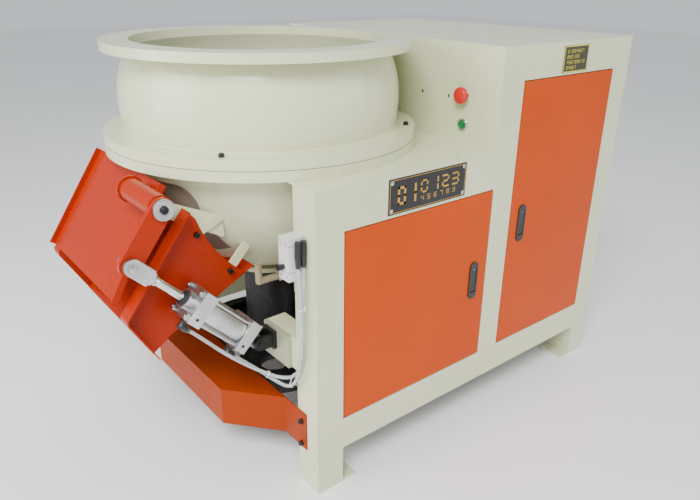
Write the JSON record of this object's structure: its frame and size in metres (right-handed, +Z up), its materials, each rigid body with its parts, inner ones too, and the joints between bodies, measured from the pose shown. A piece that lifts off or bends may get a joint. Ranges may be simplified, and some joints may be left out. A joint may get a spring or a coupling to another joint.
{
  "type": "centrifugal disc finishing machine",
  "caption": "Floor-standing disc finishing machine: round drum over a spinning bowl disc, air-operated discharge gate and chute, stepped cabinet with doors.",
  "frame": {"origin": "on the floor, at the centre of the cabinet's footprint and of its four anchor holes", "axes": "+Z up; +X from the drum's end to the tall control end; -Y is the front with the doors"},
  "size_m": [1.4367, 0.8845, 1.01],
  "materials": {
    "body_paint": "glossy pale grey-green enamel, light orange peel",
    "door_paint": "glossy orange enamel",
    "chute_paint": "glossy red-orange enamel",
    "guard_paint": "satin orange-brown enamel",
    "dark_metal": "satin black, worn at the edges",
    "steel": "machined steel, lightly oiled",
    "chrome_rod": "polished hard chrome",
    "cast_body": "rough cast, dark grey",
    "cylinder_metal": "anodised, fine grain",
    "liner": "moulded polyurethane, taupe",
    "black_rubber": "matt black",
    "black_plastic": "satin moulded black",
    "red_button": "moulded red",
    "green_button": "moulded green",
    "holder": "bright bezel",
    "white_plastic": "moulded white",
    "cream_pipe": "moulded cream",
    "clear_tube": "translucent polyurethane",
    "motor_paint": "satin blue-grey enamel",
    "black_plate": "printed plate, satin black",
    "olive_plate": "printed plate, dark olive",
    "olive_metal": "olive passivated steel"
  },
  "bodies": {
    "machine": {"air_fittings": "black_plastic", "air_tubes": "clear_tube", "back_left_leg": "body_paint", "back_panel": "body_paint", "back_right_leg": "body_paint", "bolt_heads": "dark_metal", "bowl": "body_paint", "bowl_collar": "body_paint", "bracket_plate": "olive_metal", "button_holders": "holder", "chute_far_side": "chute_paint", "chute_floor": "chute_paint", "chute_near_side": "chute_paint", "cylinder_bracket": "body_paint", "deck": "body_paint", "door_pivots": "dark_metal", "drain_pipe": "cream_pipe", "drive_belts": "black_rubber", "foot_plates": "body_paint", "front_left_leg": "body_paint", "front_panel": "body_paint", "front_plate": "black_plate", "front_plate_screws": "steel", "front_right_leg": "body_paint", "hinge_lug": "body_paint", "hinge_tube": "chute_paint", "motor": "motor_paint", "motor_plate": "dark_metal", "motor_rails": "dark_metal", "pulley_guard": "guard_paint", "rear_clevis": "dark_metal", "right_panel": "body_paint", "side_plate": "olive_plate", "spindle_housing": "cast_body", "step_panel": "body_paint", "top_cover": "body_paint", "upper_drum": "body_paint", "valve_box": "white_plastic"},
    "rotor": {"bowl_disc": "liner", "spindle_shaft": "steel", "spindle_pulley": "cast_body"},
    "motor_rotor": {"motor_pulley": "cast_body"},
    "gate": {"gate_flap": "chute_paint", "gate_plug": "liner", "gate_shaft": "steel", "gate_lever": "chute_paint"},
    "cylinder": {"cylinder_body": "cylinder_metal", "tie_rods": "steel", "cylinder_elbows": "black_plastic"},
    "rod": {"piston_rod": "chrome_rod", "rod_fork": "steel", "fork_pin": "steel"},
    "left_door": {"left_door": "door_paint", "left_lock": "black_plastic"},
    "left_handle": {"left_handle": "black_plastic"},
    "right_door": {"right_door": "door_paint", "right_lock": "black_plastic"},
    "right_handle": {"right_handle": "black_plastic"},
    "stop_button": {"stop_button": "red_button"},
    "start_button": {"start_button": "green_button"}
  },
  "joints": [
    {"name": "rotor_spin", "type": "hinge", "parent": "machine", "child": "rotor", "pos_m": [-0.3885, 0, 0.48], "axis": [0, 0, 1], "continuous": true},
    {"name": "motor_spin", "type": "hinge", "parent": "machine", "child": "motor_rotor", "pos_m": [0.0425, 0, 0.16], "axis": [0, 0, 1], "continuous": true},
    {"name": "gate_swing", "type": "hinge", "parent": "machine", "child": "gate", "pos_m": [-0.7855, 0, 0.728], "axis": [0, 1, 0], "range_deg": [0, 20]},
    {"name": "cylinder_swing", "type": "hinge", "parent": "machine", "child": "cylinder", "pos_m": [-0.5925, -0.265, 0.359], "axis": [0, 1, 0], "range_deg": [-0.5, 0.5]},
    {"name": "rod_slide", "type": "slide", "parent": "cylinder", "child": "rod", "axis": [-0.7071, 0, 0.7071], "range_m": [0, 0.044]},
    {"name": "left_door_swing", "type": "hinge", "parent": "machine", "child": "left_door", "pos_m": [-0.459, -0.433, 0.42], "axis": [0, 0, -1], "range_deg": [0, 110]},
    {"name": "left_handle_turn", "type": "hinge", "parent": "left_door", "child": "left_handle", "pos_m": [-0.047, -0.4402, 0.3925], "axis": [1, 0, 0], "range_deg": [0, 40]},
    {"name": "right_door_swing", "type": "hinge", "parent": "machine", "child": "right_door", "pos_m": [0.459, -0.433, 0.55], "axis": [0, 0, 1], "range_deg": [0, 110]},
    {"name": "right_handle_turn", "type": "hinge", "parent": "right_door", "child": "right_handle", "pos_m": [0.13, -0.4402, 0.5105], "axis": [1, 0, 0], "range_deg": [0, 40]},
    {"name": "stop_press", "type": "slide", "parent": "machine", "child": "stop_button", "axis": [1, 0, 0], "range_m": [0, 0.005]},
    {"name": "start_press", "type": "slide", "parent": "machine", "child": "start_button", "axis": [1, 0, 0], "range_m": [0, 0.003], "stiffness_N_per_m": 400, "springref_m": -0.002}
  ],
  "couplings": [
    {"joint": "motor_spin", "follows": "rotor_spin", "ratio": 4.0435},
    {"joint": "rod_slide", "follows": "gate_swing", "m_per_rad": 0.12525},
    {"joint": "cylinder_swing", "follows": "gate_swing", "ratio": -0.003}
  ]
}
